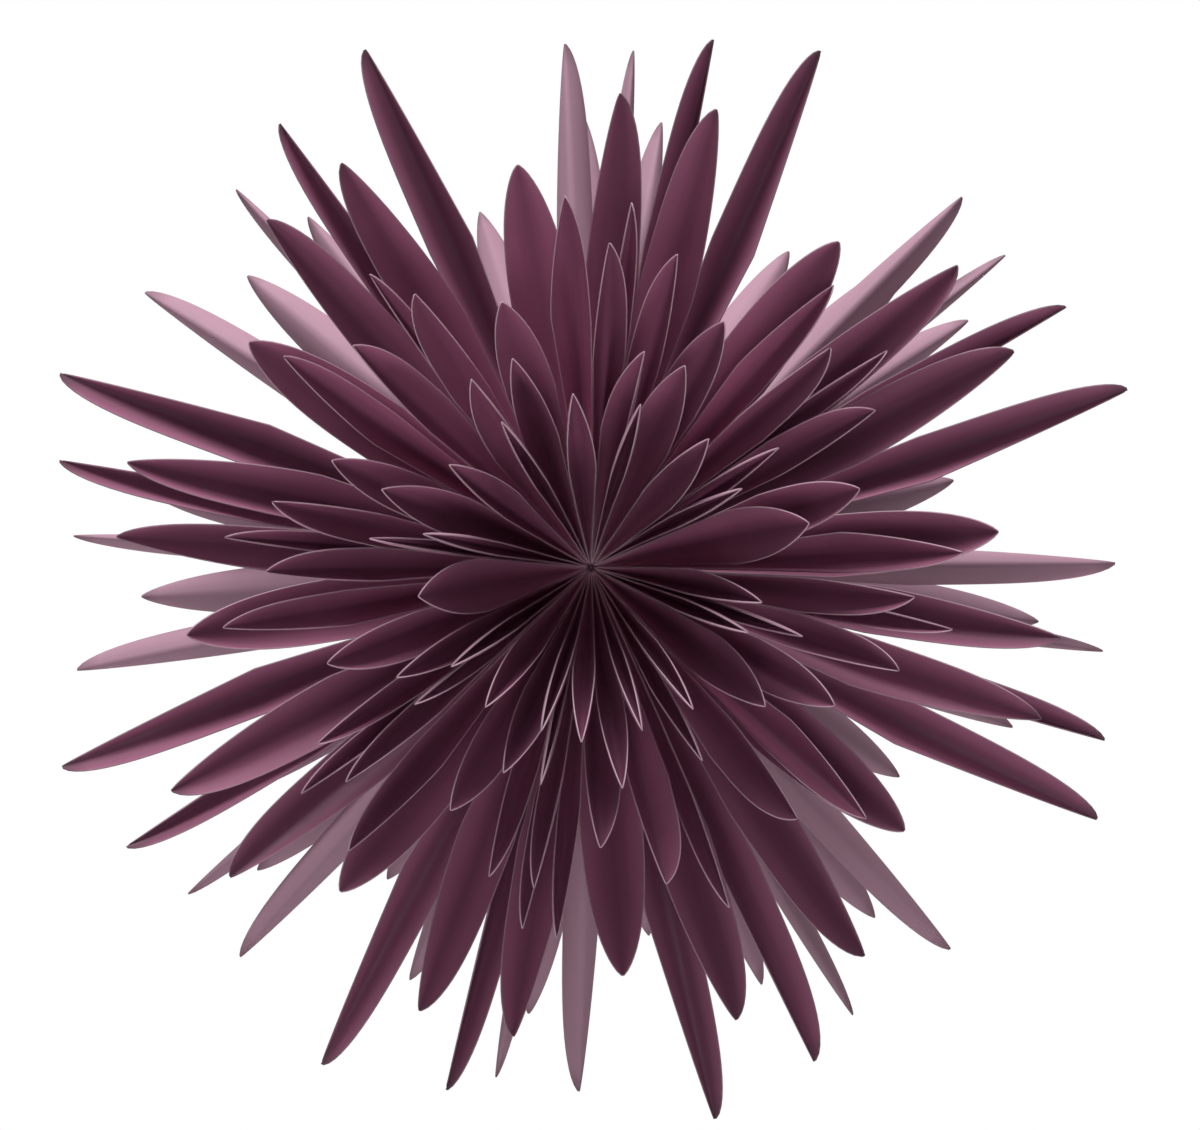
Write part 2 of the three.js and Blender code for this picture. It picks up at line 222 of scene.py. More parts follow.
class FlowerSizes(bpy.types.PropertyGroup):
    """Sizes of the petals and the core, in metres."""
    length: FloatProperty(
        name="Petal Length", description="Centre of the flower to every petal tip",
        default=0.3, min=0.05, unit="LENGTH")
    shoulder: FloatProperty(
        name="Shoulder Distance", description="Centre of the flower to the widest place of a petal",
        default=0.186, min=0.02, unit="LENGTH")
    width: FloatProperty(
        name="Petal Width", description="Width of the flat blank at its shoulders",
        default=0.036, min=0.005, unit="LENGTH")
    front_shoulder: FloatProperty(
        name="Front Shoulder",
        description="Centre to the widest place of a petal that faces the viewer",
        default=0.215, min=0.02, unit="LENGTH")
    front_width: FloatProperty(
        name="Front Width", description="Width of the blank of a petal that faces the viewer",
        default=0.033, min=0.005, unit="LENGTH")
    card: FloatProperty(
        name="Card Thickness", description="Thickness of the card",
        default=0.0006, min=0.0001, precision=4, unit="LENGTH")
    root: FloatProperty(
        name="Root Distance", description="Centre of the flower to where the card begins",
        default=0.0015, min=0.0005, precision=4, unit="LENGTH")
    cup: FloatProperty(
        name="Cup", description="How much each half of a petal turns up from crease to edge",
        default=math.radians(48), subtype="ANGLE")
    core_radius: FloatProperty(
        name="Core Radius", description="Radius of the core that the roots are glued to",
        default=0.0195, min=0.005, unit="LENGTH")


class FlowerColours(bpy.types.PropertyGroup):
    """Colours of the card and of the core."""
    plum: FloatVectorProperty(
        name="Plum Face", description="Card on the inside of the folds",
        default=(0.205, 0.066, 0.118), size=3, min=0, max=1, subtype="COLOR")
    # Deep plum is the colour of darker fibres and darker petals, and also the painted shade along
    # the folds.
    plum_deep: FloatVectorProperty(
        name="Deep Plum", description="Folds, darker fibres and darker petals of the plum face",
        default=(0.055, 0.019, 0.034), size=3, min=0, max=1, subtype="COLOR")
    back: FloatVectorProperty(
        name="Pink Back", description="Card on the outside of the folds",
        default=(0.42, 0.25, 0.32), size=3, min=0, max=1, subtype="COLOR")
    cut: FloatVectorProperty(
        name="Cut Edge", description="Bare pulp at the cut edges",
        default=(0.46, 0.33, 0.38), size=3, min=0, max=1, subtype="COLOR")
    # The very tips are darkened towards this colour.
    tip: FloatVectorProperty(
        name="Tip", description="Handled card at the very tips",
        default=(0.050, 0.032, 0.040), size=3, min=0, max=1, subtype="COLOR")
    glow: FloatVectorProperty(
        name="Glow", description="Colour of the light that passes through the card",
        default=(0.80, 0.45, 0.62), size=3, min=0, max=1, subtype="COLOR")
    core: FloatVectorProperty(
        name="Core Board", description="Board of the core and the button",
        default=(0.060, 0.022, 0.040), size=3, min=0, max=1, subtype="COLOR")


class FlowerStage(bpy.types.PropertyGroup):
    """Camera, lamps and floor."""
    camera_distance: FloatProperty(
        name="Camera Distance", description="Camera to the centre of the flower",
        default=6.45, min=1, unit="LENGTH")
    picture_width: FloatProperty(
        name="Picture Width", description="Width of the picture where the flower hangs",
        default=0.637, min=0.1, unit="LENGTH")
    floor_drop: FloatProperty(
        name="Floor Drop", description="Floor below the centre of the flower",
        default=0.75, min=0.3, unit="LENGTH")
    key_power: FloatProperty(
        name="Key Power", description="Power of the soft lamp above the flower",
        default=90, min=0, unit="POWER")
    front_power: FloatProperty(
        name="Front Power", description="Power of the soft lamp low in front",
        default=18, min=0, unit="POWER")
    room_light: FloatProperty(
        name="Room Light", description="Light of the white room from all round",
        default=0.08, min=0)


def placed_petals(kinds, shoulder, width):
    """Every petal of the kinds, one for each azimuth, with its own two angles and its blank."""
    petals = []
    blank = {"shoulder": shoulder, "half": width / 2}
    for kind in kinds:
        lows = np.broadcast_to(kind["low"], SPRAYS).tolist()
        highs = np.broadcast_to(kind["high"], SPRAYS).tolist()
        for spray, (azimuth, low, high) in enumerate(zip(kind["azimuths"], lows, highs)):
            if azimuth is not None:
                place = {"spray": spray, "azimuth": azimuth, "low": low, "high": high}
                petals.append({**kind, **place, **blank})
    return petals


def edge_turn(petal, angle):
    """How far round the axis the shoulder's edge lies from the crease. The edge is the reach
    away from the crease, at the half's angle, so it lies the reach times the sine across, and
    it comes nearer to the axis by the reach times the cosine of both angles."""
    polar = math.radians(petal["polar"])
    reach = petal["half"] / petal["shoulder"]
    inward = reach * math.cos(angle) * abs(math.cos(polar))
    return math.atan2(reach * math.sin(angle), math.sin(polar) - inward)


def folded_to(petal, turn, angle):
    """The angle of a half whose edge lies a given turn round the axis from the crease. The
    edge's distance from the axis goes by the angle itself, so the two are worked out in turns."""
    polar = math.radians(petal["polar"])
    reach = petal["half"] / petal["shoulder"]
    for _ in range(FOLD_PASSES):
        distance = math.sin(polar) - reach * math.cos(angle) * abs(math.cos(polar))
        angle = math.asin(min(1, math.tan(turn) * distance / reach))
    return angle


def meet_at_edges(petals):
    """Folds up neighbours of a layer until their edges meet. Each half wants the turn round the
    axis that its angle gives it, and where two halves want more than lies between their
    creases, both are folded up by the same share."""
    for layer in sorted({petal["layer"] for petal in petals}):
        members = [petal for petal in petals if petal["layer"] == layer]
        members.sort(key=lambda petal: petal["azimuth"] % 360)
        for petal, after in zip(members, members[1:] + members[:1]):
            room = math.radians((after["azimuth"] - petal["azimuth"]) % 360) - SLIT
            high, low = math.radians(petal["high"]), math.radians(after["low"])
            high_turn, low_turn = edge_turn(petal, high), edge_turn(after, low)
            share = room / (high_turn + low_turn)
            if share < 1:
                petal["high"] = math.degrees(folded_to(petal, high_turn * share, high))
                after["low"] = math.degrees(folded_to(after, low_turn * share, low))
    return petals


def petal_directions(petal):
    """Unit vectors along the petal, across it towards growing azimuth, and out of its open
    side. The petal leans from the front axis outwards by its polar angle. The open side faces
    the front axis on front petals and the rear axis on rear ones."""
    polar = math.radians(petal["polar"])
    turn = math.radians(petal["azimuth"])
    forwards = np.array([0.0, -1.0, 0.0])
    outwards = np.array([math.cos(turn), 0.0, math.sin(turn)])
    across = np.array([-math.sin(turn), 0.0, math.cos(turn)])
    along = math.sin(polar) * outwards + math.cos(polar) * forwards
    opening = math.sin(polar) * forwards - math.cos(polar) * outwards
    return along, across, -opening if petal["polar"] > 90 else opening


def half_width(petal, distance, length, fullness):
    """Width of one half of the blank at a distance from the centre. It grows evenly from nothing
    at the centre to the shoulder, then falls to nothing at the tip as one less a power of the
    share of the arch, raised to a root. A full side has a high power and a strong root, so it
    stays wide almost to the tip, and a lean side runs nearly straight."""
    taper = distance / petal["shoulder"]
    share = np.clip((distance - petal["shoulder"]) / (length - petal["shoulder"]), 0, 1)
    power = ARCH_POWER + POWER_OF_FULLNESS * fullness
    root = ARCH_ROOT + ROOT_OF_FULLNESS * fullness
    return petal["half"] * np.where(share > 0, (1 - share ** power) ** root, taper)


def arm_curve(angle, cup, share):
    """Sideways and outward reach of one half of a petal, for a half width of one. Its direction
    starts at the angle plus half the cup at the crease and ends at the angle minus half the cup
    at the edge, so the reach is the integral of its sine and cosine over the share of the half."""
    start = angle + cup / 2
    here = start - cup * share
    return (np.cos(here) - math.cos(start)) / cup, (math.sin(start) - np.sin(here)) / cup


def petal_sheet(petal, sizes, centre, seed):
    """Middle sheet of a petal on a grid of distance from the centre by place across. Each point
    is the distance along the petal's direction, plus the reach of its half times the half width,
    sideways and outwards. A slow wave of a millimetre or so along the petal and a fine flutter
    of its edges keep it from looking machined. Returns the points, the place across from -1 to
    1, the share along, and the distance to the cut edge."""
    along, across, opening = petal_directions(petal)
    shoulder, arch = petal["shoulder"], sizes.length - petal["shoulder"]
    straight = np.linspace(sizes.root, shoulder, ALONG_STEPS // 2, endpoint=False)
    curved = shoulder + arch * (1 - np.linspace(1, TIP_STOP, ALONG_STEPS // 2) ** TIP_CROWDING)
    distance, place = np.meshgrid(
        np.concatenate([straight, curved]), np.linspace(-1, 1, 2 * ACROSS_STEPS + 1), indexing="ij")
    low_half, high_half = (half_width(petal, distance, sizes.length, f) for f in petal["full"])
    half = np.where(place < 0, low_half, high_half)
    low_side, low_rise = arm_curve(math.radians(petal["low"]), sizes.cup, np.abs(place))
    high_side, high_rise = arm_curve(math.radians(petal["high"]), sizes.cup, np.abs(place))
    side = np.where(place < 0, -low_side, high_side) * half
    rise = np.where(place < 0, low_rise, high_rise) * half
    sway, lift, phase = np.random.default_rng(seed).uniform(-1, 1, 3)
    wave = np.sin(math.pi * distance / sizes.length)
    flutter = np.sin(distance / FLUTTER_LENGTH + FLUTTER_PHASE * phase) * np.abs(place)
    side = side + SWAY * sway * wave
    rise = rise + LIFT * lift * wave + FLUTTER * flutter
    points = centre + distance[..., None] * along
    points = points + side[..., None] * across + rise[..., None] * opening
    return points, place, distance / sizes.length, (1 - np.abs(place)) * half


def sheet_normals(points):
    """Unit normals of a grid, from the cross product of its differences along and across."""
    down = np.gradient(points, axis=0)
    over = np.gradient(points, axis=1)
    normal = np.cross(over, down)
    return normal / np.maximum(np.linalg.norm(normal, axis=-1, keepdims=True), 1e-12)


def quads_between(index, after):
    """The quads of a grid, from the points' numbers and those of their neighbours in the row."""
    return np.stack([index[:-1], after[:-1], after[1:], index[1:]], -1).reshape(-1, 4)


def petal_shell(petal, sizes, centre, seed):
    """A closed card shell round the middle sheet: the inner face and the outer face lie half the
    thickness to either side along the normals, and a strip joins them round the cut edge. The
    three get the material slots 0, 1 and 2."""
    points, place, share, edge = petal_sheet(petal, sizes, centre, seed)
    opening = petal_directions(petal)[2]
    normal = sheet_normals(points)
    if float((normal[:, ACROSS_STEPS] @ opening).mean()) < 0:
        normal = -normal
    taper = np.minimum(share * sizes.length / petal["shoulder"], 1)
    thick = np.minimum(sizes.card, ROOT_THICKNESS * petal["half"] * taper)[..., None] / 2
    vertices = np.concatenate([points + normal * thick, points - normal * thick]).reshape(-1, 3)
    count = place.size
    index = np.arange(count).reshape(place.shape)
    quads = quads_between(index[:, :-1], index[:, 1:])
    rim = np.concatenate([index[0, :-1], index[:-1, -1], index[-1, :0:-1], index[:0:-1, 0]])
    after = np.roll(rim, -1)
    strip = np.stack([rim, after, after + count, rim + count], -1)
    faces = np.concatenate([quads, quads[:, ::-1] + count, strip])
    if signed_volume(vertices, faces) < 0:
        faces = faces[:, ::-1]
    tone = np.random.default_rng(seed + TONE_SEED).uniform(0, 1)
    return {
        "vertices": vertices,
        "faces": faces,
        "slots": np.repeat([0, 1, 2], [len(quads), len(quads), len(strip)]),
        "uv": np.tile(np.stack([0.5 + 0.5 * place, share], -1).reshape(-1, 2), (2, 1)),
        "edge_distance": np.tile(edge.reshape(-1), 2),
        "petal_tone": np.full(2 * count, tone),
        "painted_light_by_polar": np.full(2 * count, np.interp(petal["polar"], *PAINTED_LIGHT_BY_POLAR)),
    }


def signed_volume(vertices, faces):
    """Volume of a closed mesh of quads, from its corners' triple products. It is positive when
    the faces point outwards."""
    a, b, c, d = (vertices[faces[:, i]] for i in range(4))
    halves = (np.einsum("ij,ij->", a, np.cross(b, c)), np.einsum("ij,ij->", a, np.cross(c, d)))
    return float(sum(halves)) / 6


def join_shells(shells):
    """Puts several shells into one set of arrays, shifting the face corners of each."""
    keys = ("vertices", "slots", "uv", *POINT_VALUES)
    joined = {key: np.concatenate([shell[key] for shell in shells]) for key in keys}
    shifts = np.cumsum([0] + [len(shell["vertices"]) for shell in shells[:-1]])
    faces = [shell["faces"] + shift for shell, shift in zip(shells, shifts)]
    joined["faces"] = np.concatenate(faces)
    return joined


def add_piece(context, name, mesh, replaced):
    """Puts a finished mesh into the scene at the origin, in place of the named nodes."""
    piece = bpy.data.objects.new(name, mesh)
    context.scene.collection.objects.link(piece)
    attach(piece, "root")
    if replaced:
        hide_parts(*replaced)
    return piece


def make_petals(context, name, shell, materials, replaced):
    """Puts arrays of quads into a mesh piece, with its UV map and its point values."""
    mesh = bpy.data.meshes.new(name)
    vertices, faces = shell["vertices"], shell["faces"]
    mesh.vertices.add(len(vertices))
    mesh.vertices.foreach_set("co", vertices.astype(np.float32).ravel())
    mesh.loops.add(faces.size)
    mesh.loops.foreach_set("vertex_index", faces.astype(np.int32).ravel())
    mesh.polygons.add(len(faces))
    mesh.polygons.foreach_set("loop_start", np.arange(0, faces.size, 4, dtype=np.int32))
    for material in materials:
        mesh.materials.append(material)
    mesh.polygons.foreach_set("material_index", shell["slots"].astype(np.int32))
    mesh.update(calc_edges=True)
    mesh.polygons.foreach_set("use_smooth", np.ones(len(faces), dtype=bool))
    layer = mesh.uv_layers.new(name="PetalUV")
    layer.data.foreach_set("uv", shell["uv"][faces.ravel()].astype(np.float32).ravel())
    for key in POINT_VALUES:
        attribute = mesh.attributes.new(key, "FLOAT", "POINT")
        attribute.data.foreach_set("value", shell[key].astype(np.float32))
    mark_cut_edges(mesh, shell)
    if mesh.validate(verbose=False):
        raise RuntimeError(f"{name} has faults in its mesh")
    return add_piece(context, name, mesh, replaced)


def edge_keys(ends, count):
    """One number for each edge: its lower end times the count of points, plus its higher end."""
    ends = np.sort(ends.reshape(-1, 2).astype(np.int64), axis=1)
    return ends[:, 0] * count + ends[:, 1]


def mark_cut_edges(mesh, shell):
    """Marks as sharp every mesh edge between faces of two materials, so the cut edge stays
    crisp. Each edge of a closed shell belongs to two faces, and sorted by the edge's number the
    two stand side by side."""
    faces, count = shell["faces"], len(shell["vertices"])
    keys = edge_keys(np.stack([faces, np.roll(faces, -1, axis=1)], -1), count)
    order = np.argsort(keys, kind="stable")
    keys, slots = keys[order], np.repeat(shell["slots"], 4)[order]
    between = (keys[:-1] == keys[1:]) & (slots[:-1] != slots[1:])
    ends = np.empty(2 * len(mesh.edges), dtype=np.int32)
    mesh.edges.foreach_get("vertices", ends)
    sharp = mesh.attributes.new("sharp_edge", "BOOLEAN", "EDGE")
    sharp.data.foreach_set("value", np.isin(edge_keys(ends, count), keys[:-1][between]))


def feed(tree, socket, value):
    """Feeds an input with another node's output, a number or a colour."""
    if isinstance(value, bpy.types.NodeSocket):
        tree.links.new(value, socket)
    elif isinstance(value, tuple):
        socket.default_value = (*value, 1.0)
    else:
        socket.default_value = value


def add_node(tree, kind, **inputs):
    """A node of a kind, with its named inputs fed."""
    node = tree.nodes.new(kind)
    for name, value in inputs.items():
        feed(tree, node.inputs[name.replace("_", " ")], value)
    return node


def add_math(tree, operation, *values, clamp=False):
    """The result of a Math node."""
    node = tree.nodes.new("ShaderNodeMath")
    node.operation = operation
    node.use_clamp = clamp
    for socket, value in zip(node.inputs, values):
        feed(tree, socket, value)
    return node.outputs[0]


def map_range(tree, source, low, high, to_low, to_high):
    """The result of a Map Range node, which takes one span to another and clamps."""
    node = add_node(tree, "ShaderNodeMapRange", Value=source, From_Min=low, From_Max=high,
                    To_Min=to_low, To_Max=to_high)
    return node.outputs["Result"]


def mix_colour(tree, factor, first, second, blend="MIX"):
    """The result of a Mix node for colours. The node has inputs for every type of data: 0 is the
    factor, 6 and 7 are the colours, and output 2 is their mix."""
    node = tree.nodes.new("ShaderNodeMix")
    node.data_type = "RGBA"
    node.blend_type = blend
    for number, value in ((0, factor), (6, first), (7, second)):
        feed(tree, node.inputs[number], value)
    return node.outputs[2]


def point_value(tree, name):
    """One of the values that a petal's points carry."""
    node = tree.nodes.new("ShaderNodeAttribute")
    node.attribute_name = name
    return node.outputs["Fac"]


def add_group(tree, group):
    """The outputs of a node group placed in a material."""
    node = tree.nodes.new("ShaderNodeGroup")
    node.node_tree = group
    return node.outputs


def new_group(name, inputs, outputs):
    """An empty node group with plain number sockets, its tree, inputs and outputs."""
    tree = bpy.data.node_groups.new(name, "ShaderNodeTree")
    for socket, default in inputs.items():
        given = tree.interface.new_socket(socket, in_out="INPUT", socket_type="NodeSocketFloat")
        given.default_value = default
    for socket in outputs:
        tree.interface.new_socket(socket, in_out="OUTPUT", socket_type="NodeSocketFloat")
    given, result = tree.nodes.new("NodeGroupInput"), tree.nodes.new("NodeGroupOutput")
    return tree, given.outputs, result.inputs


def card_fibre_group():
    """Node group: paper fibre. Fine and broad noise on object coordinates, mixed by the share of
    the fine one, make a tone from 0 to 1. The fine noise alone is the height for the bump."""
    if "Card Fibre" in bpy.data.node_groups:
        return bpy.data.node_groups["Card Fibre"]
    scales = {"Fibre Scale": 900, "Mottle Scale": 60}
    tree, given, result = new_group("Card Fibre", scales, ("Tone", "Height"))
    place = tree.nodes.new("ShaderNodeTexCoord").outputs["Object"]
    fine = add_node(tree, "ShaderNodeTexNoise", Vector=place, Scale=given["Fibre Scale"],
                    Detail=3.0, Roughness=0.6).outputs["Fac"]
    broad = add_node(tree, "ShaderNodeTexNoise", Vector=place, Scale=given["Mottle Scale"],
                     Detail=4.0, Roughness=0.65).outputs["Fac"]
    broad_part = add_math(tree, "MULTIPLY", broad, 1 - FINE_SHARE)
    tone = add_math(tree, "MULTIPLY_ADD", fine, FINE_SHARE, broad_part)
    tree.links.new(tone, result["Tone"])
    tree.links.new(fine, result["Height"])
    return tree


def petal_masks_group():
    """Node group: places on a petal. Edge is 1 within the band of painted light along the cut edge,
    which is wider near the root, Tip is 1 at the tip, Side grows from 0 at the fold to 1 at the cut
    edge, and Along from 0 at the centre of the flower to 1 at the tip."""
    if "Petal Masks" in bpy.data.node_groups:
        return bpy.data.node_groups["Petal Masks"]
    outputs = ("Edge", "Tip", "Side", "Along")
    tree, given, result = new_group("Petal Masks", {"Band": 0.0008}, outputs)
    uv = tree.nodes.new("ShaderNodeUVMap")
    uv.uv_map = "PetalUV"
    across, along, _ = add_node(tree, "ShaderNodeSeparateXYZ", Vector=uv.outputs["UV"]).outputs
    band = add_math(tree, "MULTIPLY", given["Band"], map_range(tree, along, *BAND_WIDENING))
    ratio = add_math(tree, "DIVIDE", point_value(tree, "edge_distance"), band)
    away = add_math(tree, "ABSOLUTE", add_math(tree, "SUBTRACT", across, 0.5))
    tree.links.new(map_range(tree, ratio, *BAND_FADE), result["Edge"])
    tree.links.new(map_range(tree, along, *TIP_SPAN), result["Tip"])
    tree.links.new(map_range(tree, away, 0.0, 0.5, 0.0, 1.0), result["Side"])
    tree.links.new(along, result["Along"])
    return tree


def scaled(colour, gain):
    """A colour made lighter or darker, and never past white."""
    return tuple(min(1, gain * value) for value in colour)


def fibre_bump(tree, height, shader, strength, distance):
    """Gives a shader the fine relief of the fibre."""
    bump = add_node(tree, "ShaderNodeBump", Height=height, Strength=strength, Distance=distance)
    tree.links.new(bump.outputs[0], shader.inputs["Normal"])


def card_material(name, base, deep, light, tip, cut, glow, roughness, pulp_and_edge_light):
    """Satin card that lets some light through. From base it goes to deep by fibre and by the
    petal's own tone, to deep at the fold as painted shade, and to light towards the cut edge as
    painted light. Front petals get painted light near the root. Along the cut edge lies the pale
    pulp with painted light on it, palest in front and near the root, and the tips are dark, less so
    in front. Fine fibre makes the bump."""
    if name in bpy.data.materials:
        return bpy.data.materials[name]
    material = bpy.data.materials.new(name)
    material.use_nodes = True
    tree = material.node_tree
    tree.nodes.clear()
    output = tree.nodes.new("ShaderNodeOutputMaterial")
    shader = add_node(tree, "ShaderNodeBsdfPrincipled", Specular_IOR_Level=CARD_SPECULAR)
    through = add_node(tree, "ShaderNodeBsdfTranslucent", Color=glow)
    both = tree.nodes.new("ShaderNodeMixShader")
    for socket, value in zip(both.inputs, (PASSED_LIGHT, shader.outputs[0], through.outputs[0])):
        feed(tree, socket, value)
    tree.links.new(both.outputs[0], output.inputs["Surface"])

    fibre = add_group(tree, card_fibre_group())
    # Masks for the painted shade and painted light on a petal and for its darker tip.
    petal_masks = add_group(tree, petal_masks_group())
    painted_light_share = point_value(tree, "painted_light_by_polar")
    flecked = tuple((1 - FIBRE_DEPTH) * b + FIBRE_DEPTH * d for b, d in zip(base, deep))
    colour = mix_colour(tree, map_range(tree, fibre["Tone"], *FIBRE_SPAN), base, flecked)
    own_tone = map_range(tree, point_value(tree, "petal_tone"), *OWN_TONE)
    colour = mix_colour(tree, own_tone, colour, deep)
    # Painted shade along the fold, and painted light towards the cut edge.
    colour = mix_colour(tree, map_range(tree, petal_masks["Side"], *FOLD_SHADE), colour, deep)
    colour = mix_colour(tree, map_range(tree, petal_masks["Side"], *SIDE_LIGHT), colour, light)
    # Painted light near the root of the front petals.
    inner = add_math(tree, "MULTIPLY", map_range(tree, petal_masks["Along"], *PAINTED_ROOT_LIGHT_ALONG),
                     map_range(tree, painted_light_share, *PAINTED_ROOT_LIGHT_FRONT))
    colour = mix_colour(tree, inner, colour, PAINTED_ROOT_LIGHT_GAIN, "MULTIPLY")
    # The pulp colour of the cut edge, darkened at the rim and lightened in front and near the root
    # as painted light, laid on a band along the edge as a painted highlight.
    bare = mix_colour(tree, painted_light_share, scaled(cut, RIM_EDGE_SHADE), cut)
    root_edge = map_range(tree, petal_masks["Along"], *ROOT_EDGE)
    bare = mix_colour(tree, root_edge, bare, scaled(cut, ROOT_EDGE_HIGHLIGHT))
    colour = mix_colour(tree, map_range(tree, petal_masks["Edge"], 0.0, 1.0, 0.0, pulp_and_edge_light), colour, bare)
    # The tips are darker, less so in front.
    darker_tip = add_math(tree, "SUBTRACT", map_range(tree, petal_masks["Tip"], *TIP_DARKENING),
                    map_range(tree, painted_light_share, *TIP_SPARED), clamp=True)
    colour = mix_colour(tree, darker_tip, colour, tip)
    tree.links.new(colour, shader.inputs["Base Color"])

    smooth, rough = (roughness + spread for spread in ROUGHNESS_SPREAD)
    fibre_roughness = map_range(tree, fibre["Tone"], *ROUGHNESS_SPAN, smooth, rough)
    tree.links.new(fibre_roughness, shader.inputs["Roughness"])
    fibre_bump(tree, fibre["Height"], shader, *CARD_BUMP)
    return material


def card_materials(context):
    """The three finishes of a petal, in the order of its material slots: the plum face, the
    pink back and the cut edge."""
    colours = context.scene.flower_colours
    plum, back, cut = tuple(colours.plum), tuple(colours.back), tuple(colours.cut)
    deep, tip, glow = tuple(colours.plum_deep), tuple(colours.tip), tuple(colours.glow)
    # A lit copy of the plum, used as painted light towards the cut edge.
    lit = tuple(gain * value for gain, value in zip(LIT_GAIN, plum))
    return [
        card_material("Plum Face", plum, deep, lit, tip, cut, glow, roughness=0.5, pulp_and_edge_light=0.6),
        card_material("Pink Back", back, scaled(back, SHADED), back, scaled(back, BACK_TIP), cut,
                      glow, roughness=0.6, pulp_and_edge_light=0.3),
        card_material("Cut Edge", cut, scaled(cut, SHADED), cut, tip, cut, glow,
                      roughness=0.7, pulp_and_edge_light=1.0),
    ]


def board_material(context):
    """Matt board of the core and the button: two close tones mixed by fibre, with a bump."""
    if "Core Board" in bpy.data.materials:
        return bpy.data.materials["Core Board"]
    colour = tuple(context.scene.flower_colours.core)
    material = bpy.data.materials.new("Core Board")
    material.use_nodes = True
    tree = material.node_tree
    shader = tree.nodes["Principled BSDF"]
    shader.inputs["Roughness"].default_value = BOARD_ROUGHNESS
    fibre = add_group(tree, card_fibre_group())
    tone = map_range(tree, fibre["Tone"], *FIBRE_SPAN)
    mixed = mix_colour(tree, tone, colour, scaled(colour, BOARD_LIGHT))
    tree.links.new(mixed, shader.inputs["Base Color"])
    fibre_bump(tree, fibre["Height"], shader, *BOARD_BUMP)
    return material


def petal_seed(petal):
    """A whole number of its own for every petal: its polar angle in thousandths of a degree plus
    its azimuth in tenths."""
    return int(round(petal["polar"] * 1000 + petal["azimuth"] * 10))


def make_long_petals(context, name):
    """Builds the eight petals of one kind, each a piece of its own."""
    sizes = context.scene.flower_sizes
    centre = flower_centre()
    materials = card_materials(context)
    for petal in meet_at_edges(placed_petals(LONG_KINDS, sizes.shoulder, sizes.width)):
        if petal["name"] != name:
            continue
        node = f"{name}_{petal['spray'] + 1}"
        shell = petal_shell(petal, sizes, centre, petal_seed(petal))
        piece = make_petals(context, f"card_{node}", shell, materials, [node])


def make_sprays(context, petals, node_name):
    """Builds the eight sprays of a list of petals, each with its petals in one piece."""
    sizes = context.scene.flower_sizes
    centre = flower_centre()
    materials = card_materials(context)
    for spray in range(SPRAYS):
        members = [petal for petal in petals if petal["spray"] == spray]
        shells = [petal_shell(petal, sizes, centre, petal_seed(petal)) for petal in members]
        node = f"{node_name}_{spray + 1}"
        piece = make_petals(context, f"card_{node}", join_shells(shells), materials, [node])


def revolved(profile, steps, centre):
    """Points of a closed surface: a profile of radius and place along the flower's axis, turned
    round the axis in even steps. The first and last radius are nothing, so both poles close, and
    they stand last in the list."""
    profile = np.array(profile)
    turn = np.linspace(0, 2 * math.pi, steps, endpoint=False)
    radius, place = profile[1:-1, :1], profile[1:-1, 1:]
    rings = np.stack([radius * np.cos(turn), place + 0 * turn, radius * np.sin(turn)], -1)
    poles = np.array([[0, profile[0, 1], 0], [0, profile[-1, 1], 0]])
    return np.concatenate([rings.reshape(-1, 3), poles]) + centre


def make_revolved(context, name, profile, steps, centre, material, replaced):
    """Puts a revolved profile into a mesh piece: quads between the rings, triangles at the
    poles."""
    rings = len(profile) - 2
    index = np.arange(rings * steps).reshape(rings, steps)
    after = np.roll(index, -1, axis=1)
    first, last = rings * steps, rings * steps + 1
    quads = quads_between(index, after)
    first_cap = np.stack([after[0], index[0], np.full(steps, first)], -1)
    last_cap = np.stack([index[-1], after[-1], np.full(steps, last)], -1)
    faces = [*quads.tolist(), *first_cap.tolist(), *last_cap.tolist()]
    mesh = bpy.data.meshes.new(name)
    mesh.from_pydata(revolved(profile, steps, centre).tolist(), [], faces)
    mesh.materials.append(material)
    mesh.polygons.foreach_set("use_smooth", np.ones(len(faces), dtype=bool))
    mesh.update()
    piece = add_piece(context, name, mesh, replaced)


class FLOWER_OT_rim_petals(bpy.types.Operator):
    """Builds the long petals round the widest part of the flower"""
    bl_idname = "paper_flower.rim_petals"
    bl_label = "Rim Petals"

    def execute(self, context):
        make_long_petals(context, "rim_petal")
        return {"FINISHED"}


class FLOWER_OT_blade_petals(bpy.types.Operator):
    """Builds the narrow, nearly closed petals"""
    bl_idname = "paper_flower.blade_petals"
    bl_label = "Blade Petals"

    def execute(self, context):
        make_long_petals(context, "blade_petal")
        return {"FINISHED"}


class FLOWER_OT_wing_petals(bpy.types.Operator):
    """Builds the left and right petals that lean towards each other like hands"""
    bl_idname = "paper_flower.wing_petals"
    bl_label = "Wing Petals"

    def execute(self, context):
        make_long_petals(context, "left_wing_petal")
        make_long_petals(context, "right_wing_petal")
        return {"FINISHED"}


class FLOWER_OT_broad_petals(bpy.types.Operator):
    """Builds the wide open petals between the wings"""
    bl_idname = "paper_flower.broad_petals"
    bl_label = "Broad Petals"

    def execute(self, context):
        make_long_petals(context, "broad_petal")
        return {"FINISHED"}


class FLOWER_OT_front_sprays(bpy.types.Operator):
    """Builds the petals that face the viewer, from the middle of the flower outwards"""
    bl_idname = "paper_flower.front_sprays"
    bl_label = "Front Sprays"

    def execute(self, context):
        sizes = context.scene.flower_sizes
        petals = placed_petals(FRONT_KINDS, sizes.front_shoulder, sizes.front_width)
        make_sprays(context, meet_at_edges(petals), "front_spray")
        return {"FINISHED"}


